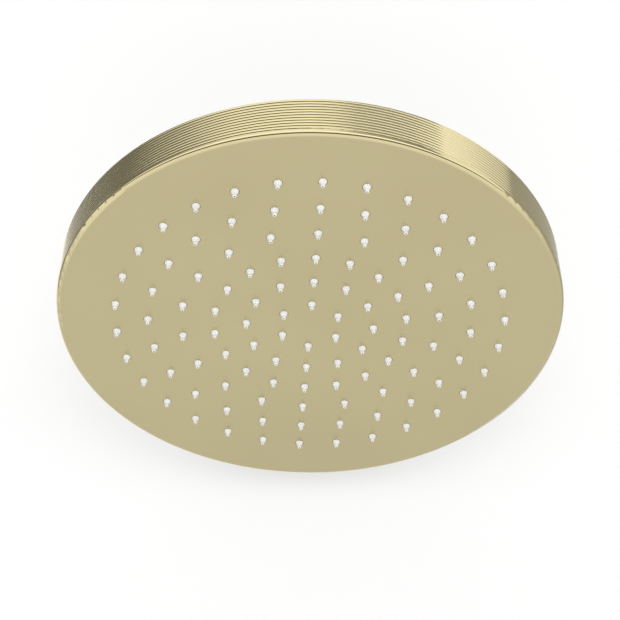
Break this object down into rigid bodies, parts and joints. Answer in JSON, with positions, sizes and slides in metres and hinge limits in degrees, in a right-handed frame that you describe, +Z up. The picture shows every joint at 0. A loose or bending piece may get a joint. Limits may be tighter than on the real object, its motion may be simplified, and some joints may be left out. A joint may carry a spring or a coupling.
{
  "type": "shower head",
  "caption": "Large round overhead shower head in satin brass with a ringed side wall, small soft nozzles in its flat face and a ball joint inlet.",
  "frame": {"origin": "on the inlet axis, where the full thread of the union nut begins under its lead-in bevel", "axes": "+Z up along the inlet axis, out of the union nut; the face with the nozzles looks down, -Z; -Y is the side seen in the picture"},
  "size_m": [0.25, 0.25, 0.0668],
  "materials": {
    "satin_brass": "satin, pale",
    "plain_brass": "turned",
    "white_silicone": "matt silicone",
    "white_plastic": "moulded",
    "grey_plastic": "moulded",
    "black_rubber": "matt",
    "steel": "plain"
  },
  "bodies": {
    "inlet": {"union_nut": "satin_brass"},
    "ball": {"swivel_ball": "plain_brass", "tailpiece": "plain_brass", "inlet_washer": "black_rubber", "filter_screen": "steel", "flow_regulator": "white_plastic", "regulator_ring": "black_rubber"},
    "seat": {"ball_seat": "white_plastic"},
    "head": {"face_plate": "satin_brass", "nozzle_mat": "white_silicone", "spray_plate": "grey_plastic", "chamber_seal": "black_rubber", "chamber_cover": "white_plastic", "rim_screws": "steel", "sealing_washers": "black_rubber", "post_screws": "steel", "housing": "satin_brass", "socket": "plain_brass", "socket_seal": "black_rubber", "socket_screws": "steel", "back_washer": "white_plastic", "back_nut": "satin_brass", "ball_seal": "black_rubber", "ball_nut": "satin_brass"}
  },
  "joints": [
    {"name": "nut_turn", "type": "hinge", "parent": "inlet", "child": "ball", "pos_m": [0, 0, 0], "axis": [0, 0, 1], "continuous": true},
    {"name": "head_tilt", "type": "hinge", "parent": "ball", "child": "seat", "pos_m": [0, 0, -0.02853], "axis": [1, 0, 0], "range_deg": [-15, 15]},
    {"name": "head_turn", "type": "hinge", "parent": "seat", "child": "head", "pos_m": [0, 0, -0.02853], "axis": [0, 0, 1], "continuous": true}
  ]
}
